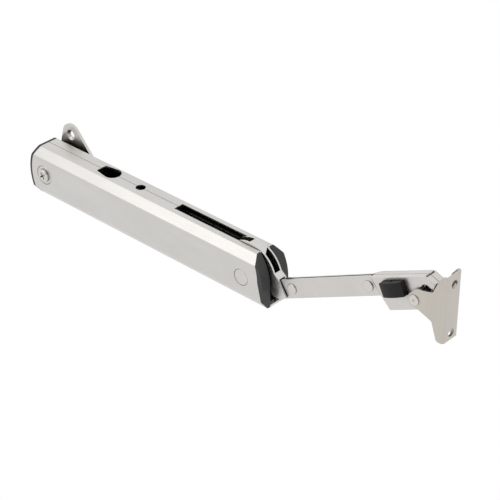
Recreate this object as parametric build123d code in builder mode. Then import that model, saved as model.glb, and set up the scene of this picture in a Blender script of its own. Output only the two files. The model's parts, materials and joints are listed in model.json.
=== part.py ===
from build123d import *
import os
from math import cos, hypot, radians, sin, sqrt

# Lid stay: a folded steel tube with a spring inside, a lever that swings out of
# the tube's slot, an arm with a press button, and a bracket for the lid.
# Millimetres, +Z up, +X towards the arm, -Y is the side that shows.
# Origin: the lever's pivot axis, in the middle of the tube's width.

# ---- Tube ----
TUBE_W = 23.3
TUBE_H = 35.8
TUBE_TOP_FLAT = 14.2
TUBE_CHAMFER_H = 6.0
SHEET = 1.2
FOLD_R = 1.6
PIVOT_DROP = 0.9            # pivot axis below the tube's mid-height
TUBE_REAR = 190.8           # pivot to the crown of the rear end
REAR_END_R = 32.0
FRONT_TOP = 9.0             # front edge: at the top, at its bulge, at its knee, at the foot
FRONT_BULGE = 12.3
FRONT_BULGE_Z = 10.0
FRONT_KNEE = 13.4
FRONT_KNEE_Z = 2.0
FRONT_FOOT = 17.9
SLOT_W = 7.4
SLOT_REAR = 64.0
SEAM_W = 0.3
SEAM_DEPTH = 0.35
KEY_HOLE_X = 123.9
KEY_HOLE_R = 5.9
KEY_HOLE_REAR = 134.5
KEY_HOLE_FLAT = 8.8
KEY_HOLE_REAR_R = 1.6
SIGHT_HOLE_X = 97.9
SIGHT_HOLE_D = 6.6

# ---- Fixing at the rear ----
FIXING_X = 178.7
SLEEVE_D = 13.1
SLEEVE_FIT = 0.15
SCREW_D = 5.0
SCREW_FIT = 0.1
SCREW_HEAD_D = 9.2
SCREW_HEAD_H = 1.7
CROSS_L = 5.2
CROSS_W = 1.0
CROSS_DEPTH = 1.1
CROSS_TURN = 35.0
CROSS_TAPER = 12.0
PLATE_T = 2.0
EAR_X = 176.4
EAR_RISE = 21.8             # ear hole above the tube's mid-height
EAR_R = 7.8
EAR_HOLE_D = 4.2
EAR_SINK_D = 7.4
PLATE_LOBE_R = 11.0
PLATE_TOE_X = 154.5
PLATE_TOE_RISE = 3.5
PLATE_TOE_R = 4.0

# ---- End caps ----
CAP_FLANGE = 1.7
CAP_FIT = 0.15
CAP_WALL = 1.6
CAP_TONGUE = 11.0
NOSE_TOP = 9.6              # front caps' face: top, bulge, crease and foot
NOSE_BULGE = 16.3
NOSE_BULGE_Z = 7.0
NOSE_CREASE = 17.6
NOSE_CREASE_Z = -6.0
NOSE_FOOT = 17.9
NOSE_LIP_H = 2.4
NOSE_BEVEL = 0.9
NOSE_LIP_GAP = 1.4
CHEEK_T = 2.9
CHEEK_REAR = 7.0
CHEEK_H = 20.0

# ---- Lever and its pivot ----
PIVOT_HEAD_D = 10.7
PIVOT_HEAD_FIT = 0.2
PIVOT_HEAD_EDGE = 0.3
PIVOT_D = 7.0
RUN_FIT = 0.05              # radial clearance of a turning fit
BUSH_WALL = 1.05
BUSH_PLAY = 0.05
LEVER_W = 6.8
LEVER_T = 1.1
LEVER_R = 20.7
LEVER_TAIL_ANGLE = 130.0
LEVER_NECK_ANGLE = 20.0
LEVER_TIP_TOP = (23.0, 4.2)
LEVER_TIP_NOSE = (29.5, -5.6)
LEVER_TIP_FOOT = (25.7, -9.1)
LEVER_HUB_R = 9.0
WEB_TAIL_ANGLE = 93.0
WINDOW_TOP_ANGLE = 60.5
WINDOW_SLANT = 5.0
WEB_TIP_SHORT = 0.9
DRIVE_R = 10.5
DRIVE_ANGLE = 42.5          # drive pin's place at rest; the lever swings it to 180 degrees less this
DRIVE_PIN_D = 4.0
DRIVE_PIN_L = 12.6
JOINT_X = 20.8              # arm's pivot on the lever
JOINT_Z = -4.25
JOINT_PIN_D = 4.5
JOINT_HEAD_D = 6.5

# ---- Arm: u runs along it from its pivot, v across it ----
ARM_ANGLE = 26.2
LINK_H = 12.3
SHELL_T = 1.2
LINK_GAP = 1.2
HOUSING_W = 9.6
JOGGLE_U = 83.0
JOGGLE_RUN = 4.0
JOGGLE_SLANT = 18.0
HOUSING_U = 84.5
HOUSING_TOP_U = 125.2
HOUSING_TOP_V = 5.3
HOUSING_TIP_U = 130.6
HOUSING_TIP_V = -0.4
HOUSING_FALL_U = 90.5
FOLD_GAP = 0.3              # between the two halves' folded edges
FOLD_RELIEF = 0.25          # slit where the top fold and the end fold part
LID_PIN_U = 114.1
LID_PIN_V = -7.4
LID_LOBE_R = 6.6
LID_LOBE_END = 60.0         # angle where the lobe leaves for the hook
HOOK_BACK = (115.4, -2.0)
HOOK_START = (120.6, -0.4)
HOOK_CROWN = (124.0, 0.8)
HOOK_END = (126.8, -1.6)
HOOK_TOE = (129.2, -2.6)
RIVET_FRONT_U = 13.3
RIVET_REAR_U = 77.6
RIVET_D = 4.0
RIVET_HEAD_D = 6.8
RIVET_HEAD_H = 0.8
SPACER_D = 8.0
HOOK_STUD = (123.9, -1.9)
HOOK_STUD_D = 5.0
HOOK_STUD_WALL = 0.6

# ---- Release button ----
BUTTON_U0 = 92.6
BUTTON_U1 = 109.2
BUTTON_V0 = -4.9
BUTTON_V1 = 4.0
BUTTON_H = 4.4
BUTTON_CROWN = 1.1          # bulge of the pressed face along the arm
BUTTON_EDGE = 0.3
BUTTON_NOTCH_R = 0.6
BUTTON_FIT = 0.15
BUTTON_CORNER = 0.8
BUTTON_TRAVEL = 2.5
BUTTON_FLANGE = 1.2
BUTTON_FLANGE_LAP = 0.9
BUTTON_SPRING_D = 6.0
BUTTON_WIRE_D = 0.7
BUTTON_SPRING_TURNS = 4

# ---- Lid bracket ----
BRACKET_W = 13.6
BRACKET_T = 1.5
BRACKET_FACE = 147.9        # outside of the web
BRACKET_L = 34.0            # blank from the web back past the lid pin
BRACKET_FOLD_R = 2.2
BRACKET_MID_Z = 40.4
BRACKET_RISE = 22.0         # web's top above the middle of its holes
BRACKET_DROP = 21.0         # web's foot below it
BRACKET_HOLE_D = 5.2
BRACKET_PITCH = 32.0
BRACKET_LOBE_R = 4.5
BRACKET_SHOULDER = (0.2, 7.3)       # from the lid pin
BRACKET_STEP = (-9.3, 9.4)          # from the middle of the web's outside
BRACKET_EAR = (-5.7, 18.3)
BRACKET_TIP = (-3.0, 22.0)
BRACKET_HEEL = (-5.0, -21.0)
BRACKET_BEND = (-8.9, -9.4)
BRACKET_BEND_R = 2.0
LID_PIN_D = 5.0
LID_HEAD_D = 6.7
LID_HEAD_H = 0.8
WASHER_D = 9.0
WASHER_PLAY = 0.05

# ---- Spring and slider inside the tube ----
SLIDE_FIT = 0.3
YOKE_T = 2.0
YOKE_SIDE_PLAY = 0.5
YOKE_WALL = 1.6
YOKE_PLAY = 0.6             # takes up the pin's arc against the straight slide
YOKE_BOTTOM = 5.0
YOKE_HEADROOM = 0.3
SLIDER_X = 65.0             # front of the slider's head
SLIDER_HEAD = 4.0
SPRING_WIRE_D = 2.4
SPRING_WALL_GAP = 0.8       # coils to the tube's top and bottom walls
SPRING_GAP = 1.0            # between the two springs
SPRING_TURNS = 7
SPRING_REAR = 115.0
SEAT_T = 3.0
SEAT_BOSS_H = 4.0
GUIDE_FIT = 1.3             # guide rod to the inside of the coils
GUIDE_L = 22.0
ADJUSTER_D = 8.0
ADJUSTER_NUT_D = 16.0
ADJUSTER_NUT_T = 9.0
ADJUSTER_TAIL = 8.0
ANCHOR_T = 4.0
ANCHOR_X = 138.0
ANCHOR_STRAP_T = 1.6
ANCHOR_STRAP_H = 16.0

# ---- Places that follow from the sizes above ----
MID_Z = PIVOT_DROP
TOP_Z = MID_Z + TUBE_H / 2
FOOT_Z = MID_Z - TUBE_H / 2
SIDE_Y = TUBE_W / 2
INNER_Y = SIDE_Y - SHEET
LEVER_Y = LEVER_W / 2
LEVER_INNER_Y = LEVER_Y - LEVER_T
SPRING_OUTER_D = (TUBE_H - 2 * SHEET - 2 * SPRING_WALL_GAP - SPRING_GAP) / 2
SPRING_D = SPRING_OUTER_D - SPRING_WIRE_D
SPRING_RISE = (SPRING_OUTER_D + SPRING_GAP) / 2
GUIDE_D = SPRING_D - SPRING_WIRE_D - 2 * GUIDE_FIT
HOUSING_Y = HOUSING_W / 2
BRACKET_Y = BRACKET_W / 2
BRACKET_INNER_Y = BRACKET_Y - BRACKET_T
ARM_DIR = (cos(radians(ARM_ANGLE)), 0, sin(radians(ARM_ANGLE)))
ARM = Plane(origin=(JOINT_X, 0, JOINT_Z), x_dir=ARM_DIR, z_dir=(0, -1, 0))
LID_PIN = ARM.from_local_coords((LID_PIN_U, LID_PIN_V, 0))

os.makedirs("parts", exist_ok=True)


def save(piece, name):
    """Label a finished piece and write it as its own STEP file."""
    piece.part.label = name
    export_step(piece.part, f"parts/{name}.step")


def polar(radius, angle):
    """Point at a radius and an angle in degrees, measured up from +X."""
    return (radius * cos(radians(angle)), radius * sin(radians(angle)))


def tube_section(inset, x):
    """Eight-sided section of the tube, inset from its outside, on the plane at x."""
    half_y = TUBE_W / 2 - inset
    half_z = TUBE_H / 2 - inset
    chamfer_y = (TUBE_W - TUBE_TOP_FLAT) / 2
    slant = hypot(chamfer_y, TUBE_CHAMFER_H)
    reach = TUBE_CHAMFER_H * TUBE_TOP_FLAT / 2 + chamfer_y * TUBE_H / 2 - inset * slant
    flat_y = (reach - chamfer_y * half_z) / TUBE_CHAMFER_H
    side_z = (reach - TUBE_CHAMFER_H * half_y) / chamfer_y
    quarter = [(flat_y, half_z), (half_y, side_z)]
    corners = (
        quarter
        + [(y, -z) for y, z in reversed(quarter)]
        + [(-y, -z) for y, z in quarter]
        + [(-y, z) for y, z in reversed(quarter)]
    )
    with BuildSketch(Plane.YZ.offset(x)) as section:
        with Locations((0, MID_Z)):
            Polygon(*corners, align=None)
        fillet(section.vertices(), max(FOLD_R - inset, 0.3))
    return section.sketch


def front_edge():
    """Line objects of the tube's front end: an arc over the bulge, then the slant to the foot."""
    bulge = ThreePointArc((FRONT_TOP, TOP_Z), (FRONT_BULGE, FRONT_BULGE_Z), (FRONT_KNEE, FRONT_KNEE_Z))
    foot = Line(bulge @ 1, (FRONT_FOOT, FOOT_Z))
    return bulge @ 0, foot @ 1


def rear_crown(extra):
    """Three points of the rear end's arc, moved out by extra."""
    rise = TUBE_H / 2 + 1
    radius = REAR_END_R + extra
    edge = -TUBE_REAR - extra + radius - sqrt(radius**2 - rise**2)
    return (edge, MID_Z - rise), (-TUBE_REAR - extra, MID_Z), (edge, MID_Z + rise)


# ---------------------------------------------------------------- tube
with BuildPart() as body_tube:
    extrude(tube_section(0, -TUBE_REAR), amount=TUBE_REAR + FRONT_FOOT)
    extrude(tube_section(SHEET, -TUBE_REAR), amount=TUBE_REAR + FRONT_FOOT, mode=Mode.SUBTRACT)
    with BuildSketch(Plane.XZ) as side_view:
        with BuildLine():
            rear = ThreePointArc(*rear_crown(0))
            front_top, front_foot = front_edge()
            Polyline(front_foot, (front_foot.X, (rear @ 0).Y), rear @ 0)
            Polyline(rear @ 1, (front_top.X, (rear @ 1).Y), front_top)
        make_face()
    extrude(amount=TUBE_W, both=True, mode=Mode.INTERSECT)
    # Slot for the lever, open at the front
    with BuildSketch(Plane.XY.offset(MID_Z)):
        with Locations((-SLOT_REAR, 0)):
            Rectangle(SLOT_REAR + FRONT_FOOT, SLOT_W, align=(Align.MIN, Align.CENTER))
    extrude(amount=TUBE_H, mode=Mode.SUBTRACT)
    # Holes over the adjuster and beside it
    with BuildSketch(Plane.XY.offset(MID_Z)):
        with Locations((-KEY_HOLE_X, 0)):
            Circle(KEY_HOLE_R)
        rear_corner = (-KEY_HOLE_REAR + KEY_HOLE_REAR_R, KEY_HOLE_FLAT / 2 - KEY_HOLE_REAR_R)
        with Locations(rear_corner, (rear_corner[0], -rear_corner[1])):
            Circle(KEY_HOLE_REAR_R)
        make_hull()
    extrude(amount=TUBE_H, mode=Mode.SUBTRACT)
    with Locations(Plane.XY.offset(TOP_Z)):
        with Locations((-SIGHT_HOLE_X, 0)):
            Hole(SIGHT_HOLE_D / 2, depth=TUBE_H / 2)
    # Butt seam of the fold, along the top
    with BuildSketch(Plane.YZ.offset(-TUBE_REAR)):
        with Locations((0, TOP_Z)):
            Rectangle(SEAM_W, 2 * SEAM_DEPTH)
    extrude(amount=TUBE_REAR - SLOT_REAR + 1, mode=Mode.SUBTRACT)
    # Cross holes for the fixing sleeve and the pivot
    with BuildSketch(Plane.XZ):
        with Locations((-FIXING_X, MID_Z)):
            Circle(SLEEVE_D / 2 + SLEEVE_FIT)
        Circle(PIVOT_HEAD_D / 2 + PIVOT_HEAD_FIT)
    extrude(amount=TUBE_W, both=True, mode=Mode.SUBTRACT)
save(body_tube, "body_tube")

# ---------------------------------------------------------------- mounting plate
with BuildPart() as mounting_plate:
    with BuildSketch(Plane.XZ.offset(-SIDE_Y - PLATE_T)):
        with Locations((-EAR_X, MID_Z + EAR_RISE)):
            Circle(EAR_R)
        with Locations((-FIXING_X, MID_Z)):
            Circle(PLATE_LOBE_R)
        with Locations((-PLATE_TOE_X, MID_Z + PLATE_TOE_RISE)):
            Circle(PLATE_TOE_R)
        make_hull()
    extrude(amount=PLATE_T)
    with Locations(Plane.XZ.offset(-SIDE_Y)):
        with Locations((-EAR_X, MID_Z + EAR_RISE)):
            CounterSinkHole(EAR_HOLE_D / 2, EAR_SINK_D / 2, counter_sink_angle=90)
    with BuildSketch(Plane.XZ.offset(-SIDE_Y - PLATE_T)):
        with Locations((-FIXING_X, MID_Z)):
            Circle(SCREW_D / 2 + SCREW_FIT)
    extrude(amount=PLATE_T, mode=Mode.SUBTRACT)
save(mounting_plate, "mounting_plate")

# ---------------------------------------------------------------- fixing sleeve and screw
with BuildPart() as fixing_sleeve:
    with BuildSketch(Plane.XZ.offset(-SIDE_Y)):
        with Locations((-FIXING_X, MID_Z)):
            Circle(SLEEVE_D / 2)
            Circle(SCREW_D / 2 + SCREW_FIT, mode=Mode.SUBTRACT)
    extrude(amount=TUBE_W)
    chamfer(fixing_sleeve.edges().group_by(Axis.Y)[0].sort_by(SortBy.RADIUS)[-1], 0.3)
save(fixing_sleeve, "fixing_sleeve")

with BuildPart() as fixing_screw:
    with BuildSketch(Plane.XZ.offset(-SIDE_Y - PLATE_T)):
        with Locations((-FIXING_X, MID_Z)):
            Circle(SCREW_D / 2)
    extrude(amount=TUBE_W + PLATE_T)
    with BuildSketch(Plane.XZ.offset(SIDE_Y)):
        with Locations((-FIXING_X, MID_Z)):
            Circle(SCREW_HEAD_D / 2)
    extrude(amount=SCREW_HEAD_H)
    fillet(fixing_screw.faces().sort_by(Axis.Y)[0].edges(), SCREW_HEAD_H * 0.55)
    with BuildSketch(Plane.XZ.offset(SIDE_Y + SCREW_HEAD_H)):
        with Locations((-FIXING_X, MID_Z)):
            Rectangle(CROSS_L, CROSS_W, rotation=CROSS_TURN)
            Rectangle(CROSS_W, CROSS_L, rotation=CROSS_TURN)
    extrude(amount=-CROSS_DEPTH, taper=CROSS_TAPER, mode=Mode.SUBTRACT)
save(fixing_screw, "fixing_screw")

# ---------------------------------------------------------------- rear end cap
with BuildPart() as rear_end_cap:
    # Flange that carries the tube's outline on beyond its end
    extrude(tube_section(0, -TUBE_REAR - 2 * CAP_FLANGE), amount=2 * CAP_FLANGE + REAR_END_R / 2)
    with BuildSketch(Plane.XZ):
        with BuildLine():
            outer = ThreePointArc(*rear_crown(CAP_FLANGE))
            inner = ThreePointArc(*rear_crown(0))
            Line(outer @ 0, inner @ 0)
            Line(outer @ 1, inner @ 1)
        make_face()
    extrude(amount=TUBE_W, both=True, mode=Mode.INTERSECT)
    # Tongues that grip the tube's top and bottom walls from inside
    tongue_rear = -TUBE_REAR + 2 * CAP_FLANGE
    tongue_inset = SHEET + CAP_FIT
    extrude(tube_section(tongue_inset, tongue_rear), amount=CAP_TONGUE)
    tongue_bore = tube_section(tongue_inset + CAP_WALL, tongue_rear + CAP_WALL)
    extrude(tongue_bore, amount=CAP_TONGUE, mode=Mode.SUBTRACT)
    with BuildSketch(Plane.XZ):
        with Locations((-FIXING_X, MID_Z)):
            Rectangle(2 * CAP_TONGUE, SLEEVE_D + 4 * CAP_WALL)
    extrude(amount=TUBE_W, both=True, mode=Mode.SUBTRACT)
save(rear_end_cap, "rear_end_cap")


# ---------------------------------------------------------------- front caps
def nose_profile(inset):
    """Side view of the front caps, drawn in from their face by inset."""
    with BuildSketch(Plane.XZ) as profile:
        with BuildLine():
            face = ThreePointArc(
                (NOSE_TOP - inset, TOP_Z),
                (NOSE_BULGE - inset, NOSE_BULGE_Z),
                (NOSE_CREASE - inset, NOSE_CREASE_Z),
            )
            lower = Line(face @ 1, (NOSE_FOOT - inset, FOOT_Z))
            Polyline(lower @ 1, (-CHEEK_REAR, FOOT_Z), (-CHEEK_REAR, TOP_Z), face @ 0)
        make_face()
    return profile.sketch


def tube_front_profile():
    """Side view of the tube's front end, back to the cheeks' rear."""
    with BuildSketch(Plane.XZ) as profile:
        with BuildLine():
            front_top, front_foot = front_edge()
            Polyline(front_foot, (-CHEEK_REAR, FOOT_Z), (-CHEEK_REAR, TOP_Z), front_top)
        make_face()
    return profile.sketch


def front_cap(side):
    """Cap half on one side of the lever's slot: side is -1 for near, 1 for far."""
    plug = SHEET + CAP_FIT
    with BuildPart(mode=Mode.PRIVATE) as flange:
        extrude(tube_section(0, 0), amount=FRONT_FOOT)
        extrude(nose_profile(0), amount=TUBE_W, both=True, mode=Mode.INTERSECT)
        extrude(tube_front_profile(), amount=TUBE_W, both=True, mode=Mode.SUBTRACT)
    with BuildPart(mode=Mode.PRIVATE) as hollow:
        extrude(tube_section(plug + CAP_WALL, -CHEEK_REAR), amount=FRONT_FOOT + CHEEK_REAR)
        extrude(nose_profile(CAP_WALL), amount=TUBE_W, both=True, mode=Mode.INTERSECT)
    with BuildPart() as cap:
        extrude(tube_section(plug, NOSE_TOP / 2), amount=FRONT_FOOT)
        extrude(nose_profile(0), amount=TUBE_W, both=True, mode=Mode.INTERSECT)
        add(flange.part)
        add(hollow.part, mode=Mode.SUBTRACT)
        # Only this side of the slot
        with BuildSketch(Plane.XY.offset(FOOT_Z - 1)):
            with Locations((0, side * SLOT_W / 2)):
                Rectangle(4 * TUBE_W, TUBE_W, align=(Align.CENTER, Align.MIN if side > 0 else Align.MAX))
        extrude(amount=TUBE_H + 2, mode=Mode.INTERSECT)
        # Cheek along the side wall, held by the pivot pin
        cheek_face = INNER_Y - CAP_FIT
        with BuildSketch(Plane.XZ.offset(-side * cheek_face)):
            with Locations((-CHEEK_REAR, MID_Z)):
                Rectangle(CHEEK_REAR + NOSE_TOP, CHEEK_H, align=(Align.MIN, Align.CENTER))
            Circle(PIVOT_D / 2 + RUN_FIT, mode=Mode.SUBTRACT)
        extrude(amount=side * CHEEK_T)
        # Lip across the bottom, towards the other half
        with BuildSketch(Plane.XY.offset(FOOT_Z + plug)):
            with Locations((NOSE_FOOT - 2 * CAP_WALL, side * NOSE_LIP_GAP / 2)):
                across = Align.MIN if side > 0 else Align.MAX
                Rectangle(1.8 * CAP_WALL, SLOT_W / 2 + CAP_WALL / 2, align=(Align.MIN, across))
        extrude(amount=NOSE_LIP_H)
        # Bevel of the nose along the slot
        slot_side = side * SLOT_W / 2
        slot_edges = cap.edges().filter_by_position(Axis.Y, slot_side - RUN_FIT, slot_side + RUN_FIT)
        chamfer(slot_edges.filter_by(lambda edge: edge.length > NOSE_TOP).sort_by(Axis.X)[-2:], NOSE_BEVEL)
    return cap


front_cap_near = front_cap(-1)
save(front_cap_near, "front_cap_near")
front_cap_far = front_cap(1)
save(front_cap_far, "front_cap_far")

# ---------------------------------------------------------------- pivot pin and bushes
with BuildPart() as pivot_pin:
    with BuildSketch(Plane.XZ.offset(-SIDE_Y)):
        Circle(PIVOT_HEAD_D / 2)
    extrude(amount=SHEET)
    with BuildSketch(Plane.XZ.offset(-INNER_Y)):
        Circle(PIVOT_D / 2)
    extrude(amount=2 * INNER_Y)
    with BuildSketch(Plane.XZ.offset(INNER_Y)):
        Circle(PIVOT_HEAD_D / 2)
    extrude(amount=SHEET)
    fillet(pivot_pin.faces().sort_by(Axis.Y)[0].edges(), PIVOT_HEAD_EDGE)
save(pivot_pin, "pivot_pin")


def ring(outer, inner, start, thick):
    """Ring on the pivot axis, from y = start towards the near side."""
    with BuildPart() as washer:
        with BuildSketch(Plane.XZ.offset(-start)):
            Circle(outer)
            Circle(inner, mode=Mode.SUBTRACT)
        extrude(amount=thick)
    return washer


bush_inner = PIVOT_D / 2 + RUN_FIT
bush_l = INNER_Y - CAP_FIT - CHEEK_T - LEVER_Y - 2 * BUSH_PLAY
pivot_bush_near = ring(bush_inner + BUSH_WALL, bush_inner, -LEVER_Y - BUSH_PLAY, bush_l)
save(pivot_bush_near, "pivot_bush_near")
pivot_bush_far = ring(bush_inner + BUSH_WALL, bush_inner, LEVER_Y + BUSH_PLAY + bush_l, bush_l)
save(pivot_bush_far, "pivot_bush_far")

# ---------------------------------------------------------------- lever
neck = polar(LEVER_R, LEVER_NECK_ANGLE)


def lever_outline():
    """Side view of the lever: a sector about the pivot that flares into the tip."""
    with BuildSketch(Plane.XZ) as outline:
        with BuildLine():
            tail = polar(LEVER_R, LEVER_TAIL_ANGLE)
            rim = ThreePointArc(tail, polar(LEVER_R, 75), neck)
            tip = Polyline(rim @ 1, LEVER_TIP_TOP, LEVER_TIP_NOSE, LEVER_TIP_FOOT, polar(LEVER_HUB_R, -75))
            hub = ThreePointArc(tip @ 1, polar(LEVER_HUB_R, -135), polar(LEVER_HUB_R, 180))
            Line(hub @ 1, tail)
        make_face()
        fillet(outline.vertices().sort_by(Axis.X)[-1], 1.0)
        fillet(outline.vertices().sort_by(Axis.X)[0:1], 1.2)
    return outline.sketch


with BuildPart() as lever:
    # Web along the rim, folded over between the two plates
    with BuildSketch(Plane.XZ):
        Circle(LEVER_R)
        Circle(LEVER_R - LEVER_T, mode=Mode.SUBTRACT)
        Polygon(
            (0, 0),
            polar(2 * LEVER_R, WEB_TAIL_ANGLE),
            polar(2 * LEVER_R, (WEB_TAIL_ANGLE + LEVER_NECK_ANGLE) / 2),
            polar(2 * LEVER_R, LEVER_NECK_ANGLE),
            align=None,
            mode=Mode.INTERSECT,
        )
    extrude(amount=LEVER_INNER_Y, both=True)
    outward = polar(1, WINDOW_TOP_ANGLE)
    with BuildSketch(Plane((0, 0, 0), x_dir=(0, 1, 0), z_dir=(outward[0], 0, outward[1]))):
        window_l = LEVER_R * radians(WINDOW_TOP_ANGLE - LEVER_NECK_ANGLE)
        Polygon(
            (-LEVER_Y, -WINDOW_SLANT / 2),
            (LEVER_Y, WINDOW_SLANT / 2),
            (LEVER_Y, -window_l),
            (-LEVER_Y, -window_l),
            align=None,
        )
    extrude(amount=2 * LEVER_R, mode=Mode.SUBTRACT)
    # Web under the flare, short of the tip
    with BuildSketch(Plane.XZ):
        with BuildLine():
            flare = Line(neck, LEVER_TIP_TOP)
            Line(flare @ 0, flare @ (1 - WEB_TIP_SHORT / flare.length))
        trace(line_width=2 * LEVER_T)
        add(lever_outline(), mode=Mode.INTERSECT)
    extrude(amount=LEVER_INNER_Y, both=True)
    for plate_y in (LEVER_Y, -LEVER_INNER_Y):
        with BuildSketch(Plane.XZ.offset(-plate_y)):
            add(lever_outline())
            Circle(PIVOT_D / 2 + RUN_FIT, mode=Mode.SUBTRACT)
            with Locations(polar(DRIVE_R, DRIVE_ANGLE)):
                Circle(DRIVE_PIN_D / 2, mode=Mode.SUBTRACT)
            with Locations((JOINT_X, JOINT_Z)):
                Circle(JOINT_HEAD_D / 2, mode=Mode.SUBTRACT)
        extrude(amount=LEVER_T)
save(lever, "lever")

with BuildPart() as drive_pin:
    with BuildSketch(Plane.XZ.offset(-DRIVE_PIN_L / 2)):
        with Locations(polar(DRIVE_R, DRIVE_ANGLE)):
            Circle(DRIVE_PIN_D / 2)
    extrude(amount=DRIVE_PIN_L)
    chamfer(drive_pin.edges().filter_by(GeomType.CIRCLE), 0.3)
save(drive_pin, "drive_pin")

with BuildPart() as arm_pivot_pin:
    for start, reach, radius in (
        (LEVER_Y, LEVER_T, JOINT_HEAD_D / 2),
        (LEVER_INNER_Y, 2 * LEVER_INNER_Y, JOINT_PIN_D / 2),
        (-LEVER_INNER_Y, LEVER_T, JOINT_HEAD_D / 2),
    ):
        with BuildSketch(Plane.XZ.offset(-start)):
            with Locations((JOINT_X, JOINT_Z)):
                Circle(radius)
        extrude(amount=reach)
save(arm_pivot_pin, "arm_pivot_pin")

# ---------------------------------------------------------------- arm shells
shell_inner = HOUSING_Y - SHELL_T
button_u = (BUTTON_U0 + BUTTON_U1) / 2
button_v = (BUTTON_V0 + BUTTON_V1) / 2
button_l = BUTTON_U1 - BUTTON_U0
button_w = BUTTON_V1 - BUTTON_V0


def arm_outline():
    """Side view of the arm, from its pivot to the hooked end over the lid pin."""
    with BuildSketch(ARM.offset(-HOUSING_W)) as outline:
        with BuildLine():
            root = ThreePointArc((0, LINK_H / 2), (-LINK_H / 2, 0), (0, -LINK_H / 2))
            belly_v = LID_PIN_V - LID_LOBE_R
            belly = Polyline(
                root @ 1,
                (HOUSING_U, -LINK_H / 2),
                (HOUSING_FALL_U, belly_v),
                (LID_PIN_U, belly_v),
            )
            lid_pin_uv = Vector(LID_PIN_U, LID_PIN_V)
            lobe = ThreePointArc(
                belly @ 1,
                lid_pin_uv + Vector(*polar(LID_LOBE_R, (LID_LOBE_END - 90) / 2)),
                lid_pin_uv + Vector(*polar(LID_LOBE_R, LID_LOBE_END)),
            )
            Polyline(lobe @ 1, HOOK_BACK, HOOK_START)
            hook = ThreePointArc(HOOK_START, HOOK_CROWN, HOOK_END)
            Polyline(
                hook @ 1,
                HOOK_TOE,
                (HOUSING_TIP_U, HOUSING_TIP_V),
                (HOUSING_TOP_U, HOUSING_TOP_V),
                (HOUSING_U, LINK_H / 2),
                root @ 0,
            )
        make_face()
    return outline.sketch


def arm_fold(side, joggle, start):
    """Folded top and end of one half of the arm, meeting the other half at the middle."""
    with BuildPart(mode=Mode.PRIVATE) as fold:
        with BuildSketch(ARM.offset(-side * FOLD_GAP / 2)):
            with BuildLine():
                top_start = Vector(JOGGLE_U, LINK_H / 2 - SHELL_T / 2)
                top_end = Vector(HOUSING_TOP_U - SHELL_T / 4, HOUSING_TOP_V - SHELL_T / 2)
                tip_end = Vector(HOUSING_TIP_U - SHELL_T / 2, HOUSING_TIP_V)
                Line(top_start, top_end)
                Line(top_end + (tip_end - top_end).normalized() * (SHELL_T / 2 + FOLD_RELIEF), tip_end)
            trace(line_width=SHELL_T)
        extrude(amount=-side * (HOUSING_Y - FOLD_GAP / 2 - SHELL_T / 2))
        # Narrows with the joggle
        with BuildSketch(joggle.offset(-HOUSING_TIP_U)):
            Polygon(
                (0, 0),
                (start, side * (LINK_GAP / 2 + SHELL_T / 2)),
                (start + JOGGLE_RUN, side * HOUSING_Y),
                (1.2 * HOUSING_TIP_U, side * HOUSING_Y),
                (1.2 * HOUSING_TIP_U, 0),
                align=None,
            )
        extrude(amount=2 * HOUSING_TIP_U, mode=Mode.INTERSECT)
    return fold.part


def arm_shell(side):
    """Pressed half of the arm: flat link, joggle, and housing with a folded top."""
    joggle = Plane(
        ARM.origin,
        x_dir=ARM.x_dir.rotate(Axis.Y, -JOGGLE_SLANT),
        z_dir=ARM.y_dir.rotate(Axis.Y, -JOGGLE_SLANT),
    )
    inner_link = side * LINK_GAP / 2
    inner_house = side * (HOUSING_Y - SHELL_T)
    start = JOGGLE_U * cos(radians(JOGGLE_SLANT))
    with BuildPart() as shell:
        with BuildSketch(joggle.offset(-HOUSING_TIP_U)):
            with BuildLine():
                inside = Polyline(
                    (-LINK_H, inner_link),
                    (start, inner_link),
                    (start + JOGGLE_RUN, inner_house),
                    (1.2 * HOUSING_TIP_U, inner_house),
                )
                offset(inside, amount=SHELL_T, side=Side.LEFT if side > 0 else Side.RIGHT, closed=True)
            make_face()
        extrude(amount=2 * HOUSING_TIP_U)
        extrude(arm_outline(), amount=2 * HOUSING_W, mode=Mode.INTERSECT)
        add(arm_fold(side, joggle, start))
        # Pin and rivet holes
        with BuildSketch(ARM.offset(-HOUSING_W)):
            Circle(JOINT_PIN_D / 2 + RUN_FIT)
            with Locations((RIVET_FRONT_U, 0), (RIVET_REAR_U, 0)):
                Circle(RIVET_D / 2)
            with Locations((LID_PIN_U, LID_PIN_V)):
                Circle(LID_PIN_D / 2 + RUN_FIT)
        extrude(amount=2 * HOUSING_W, mode=Mode.SUBTRACT)
        if side < 0:
            # Window for the release button
            with BuildSketch(ARM.offset(shell_inner - SHELL_T / 2)):
                with Locations((button_u, button_v)):
                    RectangleRounded(button_l + 2 * BUTTON_FIT, button_w + 2 * BUTTON_FIT, BUTTON_CORNER)
            extrude(amount=2 * SHELL_T, mode=Mode.SUBTRACT)
    return shell


arm_shell_near = arm_shell(-1)
save(arm_shell_near, "arm_shell_near")
arm_shell_far = arm_shell(1)
save(arm_shell_far, "arm_shell_far")


def arm_rivet(u):
    """Rivet through the link with a low domed head on each side."""
    outer = LINK_GAP / 2 + SHELL_T
    with BuildPart() as rivet:
        with BuildSketch(ARM.offset(-outer)):
            with Locations((u, 0)):
                Circle(RIVET_D / 2)
        extrude(amount=2 * outer)
        for start in (outer, -outer - RIVET_HEAD_H):
            with BuildSketch(ARM.offset(start)):
                with Locations((u, 0)):
                    Circle(RIVET_HEAD_D / 2)
            extrude(amount=RIVET_HEAD_H)
        fillet(rivet.faces().sort_by(Axis.Y)[0].edges(), RIVET_HEAD_H * 0.6)
        fillet(rivet.faces().sort_by(Axis.Y)[-1].edges(), RIVET_HEAD_H * 0.6)
    return rivet


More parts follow.
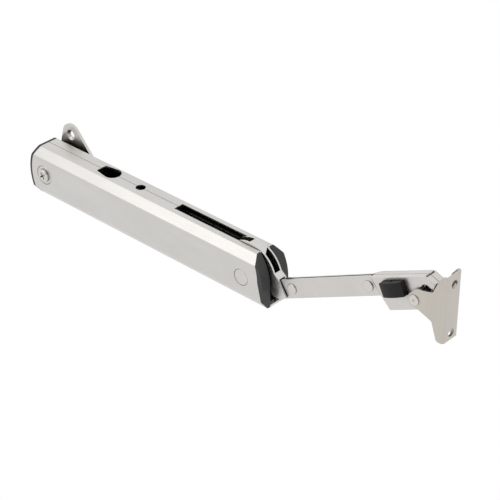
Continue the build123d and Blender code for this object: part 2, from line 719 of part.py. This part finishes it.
def arm_spacer(u):
    """Ring that keeps the two link plates apart around a rivet."""
    with BuildPart() as spacer:
        with BuildSketch(ARM.offset(-LINK_GAP / 2)):
            with Locations((u, 0)):
                Circle(SPACER_D / 2)
                Circle(RIVET_D / 2, mode=Mode.SUBTRACT)
        extrude(amount=LINK_GAP)
    return spacer


arm_rivet_front = arm_rivet(RIVET_FRONT_U)
save(arm_rivet_front, "arm_rivet_front")
arm_rivet_rear = arm_rivet(RIVET_REAR_U)
save(arm_rivet_rear, "arm_rivet_rear")
arm_spacer_front = arm_spacer(RIVET_FRONT_U)
save(arm_spacer_front, "arm_spacer_front")
arm_spacer_rear = arm_spacer(RIVET_REAR_U)
save(arm_spacer_rear, "arm_spacer_rear")

with BuildPart() as hook_stud:
    with BuildSketch(ARM.offset(-HOUSING_Y + SHELL_T)):
        with Locations(HOOK_STUD):
            Circle(HOOK_STUD_D / 2)
            Circle(HOOK_STUD_D / 2 - HOOK_STUD_WALL, mode=Mode.SUBTRACT)
    extrude(amount=HOUSING_W - 2 * SHELL_T)
save(hook_stud, "hook_stud")

# ---------------------------------------------------------------- release button
with BuildPart() as release_button:
    with BuildSketch(ARM.offset(shell_inner)):
        with Locations((button_u, button_v)):
            RectangleRounded(button_l, button_w, BUTTON_CORNER)
    extrude(amount=SHELL_T + BUTTON_H)
    with BuildSketch(Plane(ARM.origin, x_dir=ARM.x_dir, z_dir=ARM.y_dir)):
        with BuildLine():
            crest_y = -HOUSING_Y - BUTTON_H
            crown_ends = [(BUTTON_U0, crest_y + BUTTON_CROWN), (BUTTON_U1, crest_y + BUTTON_CROWN)]
            crest = ThreePointArc(crown_ends[0], (button_u, crest_y), crown_ends[1])
            Polyline(crest @ 1, (BUTTON_U1, -shell_inner), (BUTTON_U0, -shell_inner), crest @ 0)
        make_face()
    extrude(amount=2 * button_w, both=True, mode=Mode.INTERSECT)
    fillet(release_button.faces().sort_by(Axis.Y)[0].edges(), BUTTON_EDGE)
    # Small notch in the middle of the top, beside the housing
    with BuildSketch(ARM.offset(HOUSING_Y)):
        with Locations((button_u, BUTTON_V1)):
            Circle(BUTTON_NOTCH_R)
    extrude(amount=BUTTON_H / 2, mode=Mode.SUBTRACT)
    # Retaining flange inside the shell, at the two ends and below
    with BuildSketch(ARM.offset(shell_inner - BUTTON_FLANGE)):
        with Locations((button_u, BUTTON_V1)):
            Rectangle(
                button_l + 2 * BUTTON_FLANGE_LAP,
                button_w + BUTTON_FLANGE_LAP,
                align=(Align.CENTER, Align.MAX),
            )
    extrude(amount=BUTTON_FLANGE)
save(release_button, "release_button")

with BuildPart() as button_spring:
    spring_room = 2 * shell_inner - BUTTON_FLANGE
    coil_r = (BUTTON_SPRING_D - BUTTON_WIRE_D) / 2
    coil_h = spring_room - BUTTON_WIRE_D
    base = ARM.offset(-shell_inner + BUTTON_WIRE_D / 2).origin + ARM.x_dir * button_u + ARM.y_dir * button_v
    with BuildLine():
        wire = Helix(coil_h / BUTTON_SPRING_TURNS, coil_h, coil_r, center=base, direction=(0, -1, 0))
    with BuildSketch(Plane(wire @ 0, z_dir=wire % 0)):
        Circle(BUTTON_WIRE_D / 2)
    sweep()
save(button_spring, "button_spring")

# ---------------------------------------------------------------- lid bracket
def bracket_outline():
    """Side view of the bracket: plates that widen from the lid pin to the web."""
    pin = Vector(LID_PIN.X, LID_PIN.Z)
    web = Vector(BRACKET_FACE, BRACKET_MID_Z)
    with BuildSketch(Plane.XZ.offset(-BRACKET_Y)) as outline:
        with BuildLine():
            edge = FilletPolyline(
                pin + Vector(*polar(BRACKET_LOBE_R, 150)),
                pin + Vector(*BRACKET_SHOULDER),
                web + Vector(*BRACKET_STEP),
                web + Vector(*BRACKET_EAR),
                web + Vector(*BRACKET_TIP),
                web + Vector(0, BRACKET_RISE),
                web - Vector(0, BRACKET_DROP),
                web + Vector(*BRACKET_HEEL),
                web + Vector(*BRACKET_BEND),
                pin + Vector(*polar(BRACKET_LOBE_R, -75)),
                radius=[BRACKET_BEND_R, BRACKET_BEND_R, BRACKET_BEND_R, 1, 0.5, 0.5, 2, BRACKET_BEND_R],
            )
            ThreePointArc(edge @ 1, pin - Vector(BRACKET_LOBE_R, 0), edge @ 0)
        make_face()
    return outline.sketch


with BuildPart() as lid_bracket:
    # Channel seen from above: web with a folded plate each side
    with BuildSketch(Plane.XY.offset(BRACKET_MID_Z - 2 * BRACKET_DROP)):
        with Locations((BRACKET_FACE, 0)):
            Rectangle(BRACKET_L, BRACKET_W, align=(Align.MAX, Align.CENTER))
    extrude(amount=2 * (BRACKET_DROP + BRACKET_RISE))
    fillet(lid_bracket.edges().filter_by(Axis.Z).group_by(Axis.X)[-1], BRACKET_FOLD_R)
    with BuildSketch(Plane.XY.offset(BRACKET_MID_Z - 2 * BRACKET_DROP)):
        with Locations((BRACKET_FACE - BRACKET_T, 0)):
            RectangleRounded(
                2 * BRACKET_L,
                BRACKET_W - 2 * BRACKET_T,
                BRACKET_FOLD_R - BRACKET_T,
                align=(Align.MAX, Align.CENTER),
            )
    extrude(amount=2 * (BRACKET_DROP + BRACKET_RISE), mode=Mode.SUBTRACT)
    extrude(bracket_outline(), amount=BRACKET_W, mode=Mode.INTERSECT)
    with BuildSketch(Plane.YZ.offset(BRACKET_FACE - 2 * BRACKET_T)):
        with Locations((0, BRACKET_MID_Z - BRACKET_PITCH / 2), (0, BRACKET_MID_Z + BRACKET_PITCH / 2)):
            Circle(BRACKET_HOLE_D / 2)
    extrude(amount=3 * BRACKET_T, mode=Mode.SUBTRACT)
    with BuildSketch(Plane.XZ.offset(-BRACKET_Y)):
        with Locations((LID_PIN.X, LID_PIN.Z)):
            Circle(LID_PIN_D / 2)
    extrude(amount=BRACKET_W, mode=Mode.SUBTRACT)
save(lid_bracket, "lid_bracket")

with BuildPart() as lid_pin:
    with BuildSketch(Plane.XZ.offset(-BRACKET_Y)):
        with Locations((LID_PIN.X, LID_PIN.Z)):
            Circle(LID_PIN_D / 2)
    extrude(amount=BRACKET_W)
    for start in (BRACKET_Y, -BRACKET_Y - LID_HEAD_H):
        with BuildSketch(Plane.XZ.offset(start)):
            with Locations((LID_PIN.X, LID_PIN.Z)):
                Circle(LID_HEAD_D / 2)
        extrude(amount=LID_HEAD_H)
    fillet(lid_pin.faces().sort_by(Axis.Y)[0].edges(), LID_HEAD_H * 0.6)
    fillet(lid_pin.faces().sort_by(Axis.Y)[-1].edges(), LID_HEAD_H * 0.6)
    with Locations(Plane.XZ.offset(BRACKET_Y + LID_HEAD_H)):
        with Locations((LID_PIN.X, LID_PIN.Z)):
            CounterSinkHole(0.1, 0.8, depth=0.3)
save(lid_pin, "lid_pin")

washer_t = BRACKET_INNER_Y - HOUSING_Y - 2 * WASHER_PLAY
washer_places = {"lid_washer_near": HOUSING_Y + WASHER_PLAY, "lid_washer_far": -BRACKET_INNER_Y + WASHER_PLAY}
for washer_name, washer_y in washer_places.items():
    with BuildPart() as lid_washer:
        with BuildSketch(Plane.XZ.offset(washer_y)):
            with Locations((LID_PIN.X, LID_PIN.Z)):
                Circle(WASHER_D / 2)
                Circle(LID_PIN_D / 2 + RUN_FIT, mode=Mode.SUBTRACT)
        extrude(amount=washer_t)
    save(lid_washer, washer_name)

# ---------------------------------------------------------------- slider with yoke
yoke_side = LEVER_Y + YOKE_SIDE_PLAY
drive_x, drive_z = polar(DRIVE_R, DRIVE_ANGLE)
yoke_slot = DRIVE_PIN_D / 2 + YOKE_PLAY
yoke_top = DRIVE_R + DRIVE_PIN_D / 2 + YOKE_HEADROOM
with BuildPart() as spring_slider:
    extrude(tube_section(SHEET + SLIDE_FIT, -SLIDER_X - SLIDER_HEAD), amount=SLIDER_HEAD)
    for start in (-yoke_side, yoke_side + YOKE_T):
        with BuildSketch(Plane.XZ.offset(-start)):
            with BuildLine():
                front = drive_x + yoke_slot + YOKE_WALL
                crown = yoke_top + YOKE_WALL
                Polyline(
                    (-SLIDER_X - SLIDER_HEAD, YOKE_BOTTOM),
                    (drive_x - yoke_slot, YOKE_BOTTOM),
                    (drive_x - yoke_slot, yoke_top),
                    (drive_x + yoke_slot, yoke_top),
                    (drive_x + yoke_slot, YOKE_BOTTOM),
                    (front, YOKE_BOTTOM),
                    (front, crown - 1.5 * YOKE_WALL),
                    (front - 1.5 * YOKE_WALL, crown),
                    (-SLIDER_X - SLIDER_HEAD, crown),
                    close=True,
                )
            make_face()
        extrude(amount=YOKE_T)
    with BuildSketch(Plane.YZ.offset(-SLIDER_X - SLIDER_HEAD - SEAT_BOSS_H)):
        with Locations((0, MID_Z - SPRING_RISE), (0, MID_Z + SPRING_RISE)):
            Circle(GUIDE_D / 2)
    extrude(amount=SEAT_BOSS_H)
save(spring_slider, "spring_slider")

# ---------------------------------------------------------------- springs, seat and guides
seat_x = -SPRING_REAR
with BuildPart() as spring_seat:
    extrude(tube_section(SHEET + SLIDE_FIT, seat_x - SEAT_T), amount=SEAT_T)
    with BuildSketch(Plane.YZ.offset(seat_x - SEAT_T)):
        with Locations((0, MID_Z - SPRING_RISE), (0, MID_Z + SPRING_RISE)):
            Circle(GUIDE_D / 2)
    extrude(amount=SEAT_T, mode=Mode.SUBTRACT)
save(spring_seat, "spring_seat")

spring_l = SPRING_REAR - SLIDER_X - SLIDER_HEAD - SPRING_WIRE_D
for level, rise in (("lower", -SPRING_RISE), ("upper", SPRING_RISE)):
    with BuildPart() as main_spring:
        with BuildLine():
            coil = Helix(
                spring_l / SPRING_TURNS,
                spring_l,
                SPRING_D / 2,
                center=(seat_x + SPRING_WIRE_D / 2, 0, MID_Z + rise),
                direction=(1, 0, 0),
            )
        with BuildSketch(Plane(coil @ 0, z_dir=coil % 0)):
            Circle(SPRING_WIRE_D / 2)
        sweep()
    save(main_spring, f"main_spring_{level}")
    with BuildPart() as guide_rod:
        with BuildSketch(Plane.YZ.offset(seat_x - SEAT_T)):
            with Locations((0, MID_Z + rise)):
                Circle(GUIDE_D / 2)
        extrude(amount=SEAT_T + GUIDE_L)
        chamfer(guide_rod.edges().group_by(Axis.X)[-1], 1.0)
    save(guide_rod, f"guide_rod_{level}")

# ---------------------------------------------------------------- adjuster and its anchor
with BuildPart() as adjusting_screw:
    with BuildSketch(Plane.YZ.offset(-ANCHOR_X - ANCHOR_T - ADJUSTER_TAIL)):
        with Locations((0, MID_Z)):
            Circle(ADJUSTER_D / 2)
    extrude(amount=ADJUSTER_TAIL + ANCHOR_T + ANCHOR_X - SPRING_REAR - SEAT_T)
    chamfer(adjusting_screw.edges().group_by(Axis.X)[0], 0.8)
save(adjusting_screw, "adjusting_screw")

with BuildPart() as adjusting_nut:
    with BuildSketch(Plane.YZ.offset(-ANCHOR_X)):
        with Locations((0, MID_Z)):
            RegularPolygon(ADJUSTER_NUT_D / 2, 6)
            Circle(ADJUSTER_D / 2, mode=Mode.SUBTRACT)
    extrude(amount=ADJUSTER_NUT_T)
save(adjusting_nut, "adjusting_nut")

with BuildPart() as spring_anchor:
    extrude(tube_section(SHEET + SLIDE_FIT, -ANCHOR_X - ANCHOR_T), amount=ANCHOR_T)
    strap_face = INNER_Y - SLIDE_FIT
    for start in (-strap_face, strap_face - ANCHOR_STRAP_T):
        with BuildSketch(Plane.XZ.offset(start)):
            with Locations((-FIXING_X, MID_Z)):
                Rectangle(FIXING_X - ANCHOR_X, ANCHOR_STRAP_H, align=(Align.MIN, Align.CENTER))
                Circle(ANCHOR_STRAP_H / 2)
                Circle(SLEEVE_D / 2 + SLEEVE_FIT, mode=Mode.SUBTRACT)
        extrude(amount=ANCHOR_STRAP_T)
    with BuildSketch(Plane.YZ.offset(-ANCHOR_X - ANCHOR_T)):
        with Locations((0, MID_Z)):
            Circle(ADJUSTER_D / 2)
    extrude(amount=ANCHOR_T, mode=Mode.SUBTRACT)
save(spring_anchor, "spring_anchor")
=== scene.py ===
import json
import math

import bpy
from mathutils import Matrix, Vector


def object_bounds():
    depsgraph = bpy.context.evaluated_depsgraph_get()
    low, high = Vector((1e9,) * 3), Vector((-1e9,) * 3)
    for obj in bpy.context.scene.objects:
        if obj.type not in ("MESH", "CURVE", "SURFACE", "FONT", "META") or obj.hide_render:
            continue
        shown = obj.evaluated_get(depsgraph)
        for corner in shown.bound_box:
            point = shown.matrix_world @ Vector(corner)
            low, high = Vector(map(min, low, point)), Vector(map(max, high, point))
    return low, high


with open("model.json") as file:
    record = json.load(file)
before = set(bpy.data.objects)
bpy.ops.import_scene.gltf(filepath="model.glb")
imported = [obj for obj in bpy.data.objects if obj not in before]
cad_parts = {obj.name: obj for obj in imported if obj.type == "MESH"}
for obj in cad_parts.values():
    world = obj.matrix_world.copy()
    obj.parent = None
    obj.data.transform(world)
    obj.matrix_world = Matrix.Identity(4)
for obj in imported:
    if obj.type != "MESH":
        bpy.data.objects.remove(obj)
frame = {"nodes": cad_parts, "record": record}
CAD_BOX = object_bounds()

# Direction of the brushing: a turn about Y from the tube's length
ALONG_TUBE = 0
ALONG_ARM = math.radians(26.2)
ALONG_BRACKET = math.radians(90)

# Noise scales, per metre along X, Y and Z after the turn
STREAKS = (60, 2600, 2600)
STREAK_SHARE = 0.55             # of the metal's tint, and the clouds have the rest
METAL_CLOUDS = (30, 90, 90)
GRAINS = (4200, 4200, 4200)
PLASTIC_CLOUDS = (120, 120, 120)
CARD_WEAVE = (400, 400, 400)
STREAK_DETAIL = 5
GRAIN_DETAIL = 3
SOFT_DETAIL = 2
NOISE_LOW = 0.3
NOISE_HIGH = 0.7

# Shade in closed corners: how far it looks, and what it leaves of the colour
METAL_REACH = 0.010
METAL_SHADE = 0.05
PLASTIC_REACH = 0.006
PLASTIC_SHADE = 0.4
CLOSED = 0.1
OPEN = 0.75
SHADE_SAMPLES = 8

METAL_CONTRAST = 0.06
METAL_SMOOTHER = 0.05           # how far the noise lowers and raises the roughness
METAL_ROUGHER = 0.06
METAL_GRAIN = 0.04
METAL_GRAIN_DEPTH = 0.0002
METAL_EDGE = 0.00025
PLASTIC_DARK = 0.88
PLASTIC_LIGHT = 1.14
PLASTIC_SMOOTHER = 0.06
PLASTIC_ROUGHER = 0.08
PLASTIC_GRAIN = 0.12
PLASTIC_GRAIN_DEPTH = 0.00015
PLASTIC_EDGE = 0.0002
EDGE_SAMPLES = 4

# Studio
MIDDLE = (-0.02, 0, 0.01)       # what the lamps and the card face
LAMP_SIZE = 0.6
KEY_PLACE = (-0.55, -0.75, 0.55)
KEY_POWER = 1.0
FILL_PLACE = (0.75, -0.30, 0.45)
FILL_POWER = 0.4
CARD_PLACE = (0.95, -0.95, 0.95)
CARD_WIDTH = 1.2
CARD_HEIGHT = 0.9
CARD_TONE = 0.05
CARD_CONTRAST = 0.1
FLOOR_DROP = 0.12
FLOOR_SIDE = 4
FLOOR_TONE = 0.82
AMBIENT = 0.7

CAMERA_PLACE = (0.5883, -0.6387, 0.5699)
CAMERA_TILT = math.radians(57.378)
CAMERA_HEADING = math.radians(42.802)
CAMERA_LENS = 122.81
CAMERA_SENSOR = 36
CAMERA_NEAR = 0.01
CAMERA_FAR = 20


def nodes_of(name):
    """A new material and its emptied node tree."""
    material = bpy.data.materials.new(name)
    material.use_nodes = True
    tree = material.node_tree
    tree.nodes.clear()
    return material, tree.nodes, tree.links


def link_surface(nodes, links, shader):
    output = nodes.new("ShaderNodeOutputMaterial")
    links.new(shader, output.inputs["Surface"])


def stretched_noise(nodes, links, turn, stretch, detail):
    """Noise in object space, drawn out along local X after a turn about Y."""
    coords = nodes.new("ShaderNodeTexCoord")
    turned = nodes.new("ShaderNodeMapping")
    turned.vector_type = "TEXTURE"
    turned.inputs["Rotation"].default_value = (0, turn, 0)
    scaled = nodes.new("ShaderNodeMapping")
    scaled.inputs["Scale"].default_value = stretch
    noise = nodes.new("ShaderNodeTexNoise")
    noise.inputs["Scale"].default_value = 1
    noise.inputs["Detail"].default_value = detail
    links.new(coords.outputs["Object"], turned.inputs["Vector"])
    links.new(turned.outputs["Vector"], scaled.inputs["Vector"])
    links.new(scaled.outputs["Vector"], noise.inputs["Vector"])
    return noise.outputs["Fac"]


def mapped_range(nodes, links, factor, from_low, from_high, low, high):
    mapped = nodes.new("ShaderNodeMapRange")
    mapped.inputs["From Min"].default_value = from_low
    mapped.inputs["From Max"].default_value = from_high
    mapped.inputs["To Min"].default_value = low
    mapped.inputs["To Max"].default_value = high
    links.new(factor, mapped.inputs["Value"])
    return mapped.outputs["Result"]


def spread(nodes, links, factor, low, high):
    """Maps the middle of a noise onto low to high."""
    return mapped_range(nodes, links, factor, NOISE_LOW, NOISE_HIGH, low, high)


def weighted_sum(nodes, links, first, second, share):
    """Share of the first factor and the rest of the second."""
    rest = nodes.new("ShaderNodeMath")
    rest.operation = "MULTIPLY"
    rest.inputs[1].default_value = 1 - share
    total = nodes.new("ShaderNodeMath")
    total.operation = "MULTIPLY_ADD"
    total.inputs[1].default_value = share
    links.new(second, rest.inputs[0])
    links.new(first, total.inputs[0])
    links.new(rest.outputs[0], total.inputs[2])
    return total.outputs[0]


def mixed(nodes, links, factor, dark, light):
    mix = nodes.new("ShaderNodeMix")
    mix.data_type = "RGBA"
    mix.inputs["A"].default_value = (*dark, 1)
    mix.inputs["B"].default_value = (*light, 1)
    links.new(factor, mix.inputs["Factor"])
    return mix.outputs["Result"]


def scaled_color(color, scale):
    return tuple(min(1, channel * scale) for channel in color)


def painted_crevice_shade(nodes, links, color, reach, floor):
    """Painted shade: darkens a colour where other surfaces close it in."""
    closed = nodes.new("ShaderNodeAmbientOcclusion")
    closed.samples = SHADE_SAMPLES
    closed.inputs["Distance"].default_value = reach
    left = mapped_range(nodes, links, closed.outputs["AO"], CLOSED, OPEN, floor, 1)
    shade = nodes.new("ShaderNodeMix")
    shade.data_type = "RGBA"
    shade.blend_type = "MULTIPLY"
    shade.inputs["Factor"].default_value = 1
    links.new(color, shade.inputs["A"])
    links.new(left, shade.inputs["B"])
    return shade.outputs["Result"]


def grained_edges(nodes, links, shader, height, grain, depth, edge):
    """Catches light on rounded edges and raises a noise on the surface."""
    rounded = nodes.new("ShaderNodeBevel")
    rounded.samples = EDGE_SAMPLES
    rounded.inputs["Radius"].default_value = edge
    bump = nodes.new("ShaderNodeBump")
    bump.inputs["Strength"].default_value = grain
    bump.inputs["Distance"].default_value = depth
    links.new(height, bump.inputs["Height"])
    links.new(rounded.outputs["Normal"], bump.inputs["Normal"])
    links.new(bump.outputs["Normal"], shader.inputs["Normal"])


def metal(name, color, turn=ALONG_TUBE, rough=0.34):
    """Nickel-plated steel with a fine lengthwise brushing and soft cloudy patches."""
    material, nodes, links = nodes_of(name)
    shader = nodes.new("ShaderNodeBsdfPrincipled")
    shader.inputs["Metallic"].default_value = 1
    streaks = stretched_noise(nodes, links, turn, STREAKS, STREAK_DETAIL)
    clouds = stretched_noise(nodes, links, turn, METAL_CLOUDS, SOFT_DETAIL)
    patches = weighted_sum(nodes, links, streaks, clouds, STREAK_SHARE)
    dark = scaled_color(color, 1 - METAL_CONTRAST)
    light = scaled_color(color, 1 + METAL_CONTRAST)
    tint = mixed(nodes, links, spread(nodes, links, patches, 0, 1), dark, light)
    # Painted shade darkens the metal's colour in closed corners and slots
    links.new(painted_crevice_shade(nodes, links, tint, METAL_REACH, METAL_SHADE), shader.inputs["Base Color"])
    roughness = spread(nodes, links, streaks, rough - METAL_SMOOTHER, rough + METAL_ROUGHER)
    links.new(roughness, shader.inputs["Roughness"])
    grained_edges(nodes, links, shader, streaks, METAL_GRAIN, METAL_GRAIN_DEPTH, METAL_EDGE)
    link_surface(nodes, links, shader.outputs["BSDF"])
    return material


def plastic(name, color, rough=0.5, specular=0.4):
    """Moulded plastic with a fine even grain."""
    material, nodes, links = nodes_of(name)
    shader = nodes.new("ShaderNodeBsdfPrincipled")
    shader.inputs["Specular IOR Level"].default_value = specular
    grains = stretched_noise(nodes, links, 0, GRAINS, GRAIN_DETAIL)
    clouds = stretched_noise(nodes, links, 0, PLASTIC_CLOUDS, SOFT_DETAIL)
    dark = scaled_color(color, PLASTIC_DARK)
    light = scaled_color(color, PLASTIC_LIGHT)
    tint = mixed(nodes, links, spread(nodes, links, clouds, 0, 1), dark, light)
    # Painted shade darkens the plastic's colour in closed corners
    links.new(painted_crevice_shade(nodes, links, tint, PLASTIC_REACH, PLASTIC_SHADE), shader.inputs["Base Color"])
    roughness = spread(nodes, links, grains, rough - PLASTIC_SMOOTHER, rough + PLASTIC_ROUGHER)
    links.new(roughness, shader.inputs["Roughness"])
    grained_edges(nodes, links, shader, grains, PLASTIC_GRAIN, PLASTIC_GRAIN_DEPTH, PLASTIC_EDGE)
    link_surface(nodes, links, shader.outputs["BSDF"])
    return material


FINISH = {
    "tube_steel": metal("tube_finish", (0.63, 0.615, 0.59)),
    "plate_steel": metal("plate_finish", (0.62, 0.60, 0.575)),
    "lever_steel": metal("lever_finish", (0.66, 0.645, 0.62), ALONG_ARM),
    "arm_steel": metal("arm_finish", (0.63, 0.61, 0.585), ALONG_ARM),
    "bracket_steel": metal("bracket_finish", (0.55, 0.515, 0.47), ALONG_BRACKET),
    "rivet_steel": metal("rivet_finish", (0.64, 0.62, 0.59), rough=0.3),
    # Inner parts and springs get a dark colour as painted shade inside the tube
    "inner_steel": metal("inner_painted_shade_finish", (0.22, 0.215, 0.21), rough=0.45),
    "spring_steel": metal("spring_painted_shade_finish", (0.14, 0.135, 0.13), rough=0.4),
    "cap_plastic": plastic("cap_finish", (0.040, 0.040, 0.042)),
    "button_plastic": plastic("button_finish", (0.009, 0.009, 0.009), 0.42, 0.22),
    "bush_plastic": plastic("bush_finish", (0.62, 0.61, 0.57)),
}
for part in frame["record"]["subparts"]:
    mesh = frame["nodes"][part["node"]].data
    mesh.materials.clear()
    mesh.materials.append(FINISH[part["material_slot"]])


def facing(place, target):
    """Turn that points local -Z from one place to another."""
    return (Vector(target) - Vector(place)).to_track_quat("-Z", "Y").to_euler()


def area_light(name, place, power):
    light = bpy.data.lights.new(name, "AREA")
    light.size = LAMP_SIZE
    light.energy = power
    lamp = bpy.data.objects.new(name, light)
    lamp.location = place
    lamp.rotation_euler = facing(place, MIDDLE)
    bpy.context.scene.collection.objects.link(lamp)


def sheet(name, width, height, finish):
    """A flat rectangle about its own origin, in the scene."""
    mesh = bpy.data.meshes.new(name)
    w, h = width / 2, height / 2
    mesh.from_pydata([(-w, -h, 0), (w, -h, 0), (w, h, 0), (-w, h, 0)], [], [(0, 1, 2, 3)])
    mesh.materials.append(finish)
    piece = bpy.data.objects.new(name, mesh)
    bpy.context.scene.collection.objects.link(piece)
    return piece


def dark_card(name):
    """Matt card outside the view that the metal mirrors as a darker side of the studio."""
    card_finish, nodes, links = nodes_of(name)
    shader = nodes.new("ShaderNodeBsdfPrincipled")
    shader.inputs["Roughness"].default_value = 1
    weave = stretched_noise(nodes, links, 0, CARD_WEAVE, SOFT_DETAIL)
    dark = (CARD_TONE * (1 - CARD_CONTRAST),) * 3
    light = (CARD_TONE * (1 + CARD_CONTRAST),) * 3
    links.new(mixed(nodes, links, weave, dark, light), shader.inputs["Base Color"])
    link_surface(nodes, links, shader.outputs["BSDF"])
    card = sheet(name, CARD_WIDTH, CARD_HEIGHT, card_finish)
    card.location = CARD_PLACE
    card.rotation_euler = facing(CARD_PLACE, MIDDLE)


def background_mix(nodes, links, plain, white):
    """White for what looks straight at it or mirrors it, and its plain self for other light."""
    path = nodes.new("ShaderNodeLightPath")
    shiny = nodes.new("ShaderNodeMath")
    shiny.operation = "MAXIMUM"
    seen = nodes.new("ShaderNodeMath")
    seen.operation = "MAXIMUM"
    choice = nodes.new("ShaderNodeMixShader")
    links.new(path.outputs["Is Glossy Ray"], shiny.inputs[0])
    links.new(path.outputs["Is Transmission Ray"], shiny.inputs[1])
    links.new(path.outputs["Is Camera Ray"], seen.inputs[0])
    links.new(shiny.outputs[0], seen.inputs[1])
    links.new(seen.outputs[0], choice.inputs["Fac"])
    links.new(plain, choice.inputs[1])
    links.new(white, choice.inputs[2])
    return choice.outputs[0]


def white_source(nodes, kind, strength):
    """An emission or a background shader in white."""
    source = nodes.new(kind)
    source.inputs["Color"].default_value = (1, 1, 1, 1)
    source.inputs["Strength"].default_value = strength
    return source.outputs[0]


def floor_below():
    """Plain pale floor well below the part, as under a part held up for its picture."""
    pale, nodes, links = nodes_of("floor_finish")
    matt = nodes.new("ShaderNodeBsdfDiffuse")
    matt.inputs["Color"].default_value = (FLOOR_TONE, FLOOR_TONE, FLOOR_TONE, 1)
    glow = white_source(nodes, "ShaderNodeEmission", 1)
    link_surface(nodes, links, background_mix(nodes, links, matt.outputs[0], glow))
    floor = sheet("floor", FLOOR_SIDE, FLOOR_SIDE, pale)
    floor.location = (0, 0, CAD_BOX[0][2] - FLOOR_DROP)


def studio_world():
    world = bpy.data.worlds.new("studio")
    bpy.context.scene.world = world
    world.use_nodes = True
    nodes, links = world.node_tree.nodes, world.node_tree.links
    nodes.clear()
    white = white_source(nodes, "ShaderNodeBackground", 1)
    ambient = white_source(nodes, "ShaderNodeBackground", AMBIENT)
    output = nodes.new("ShaderNodeOutputWorld")
    links.new(background_mix(nodes, links, ambient, white), output.inputs["Surface"])


def main_camera():
    lens = bpy.data.cameras.new("camera")
    lens.lens = CAMERA_LENS
    lens.sensor_width = CAMERA_SENSOR
    lens.clip_start = CAMERA_NEAR
    lens.clip_end = CAMERA_FAR
    camera = bpy.data.objects.new("camera", lens)
    camera.location = CAMERA_PLACE
    camera.rotation_euler = (CAMERA_TILT, 0, CAMERA_HEADING)
    bpy.context.scene.collection.objects.link(camera)
    bpy.context.scene.camera = camera


area_light("key", KEY_PLACE, KEY_POWER)
area_light("fill", FILL_PLACE, FILL_POWER)
dark_card("card_camera")
floor_below()
studio_world()
main_camera()
bpy.context.scene.view_settings.view_transform = "Standard"
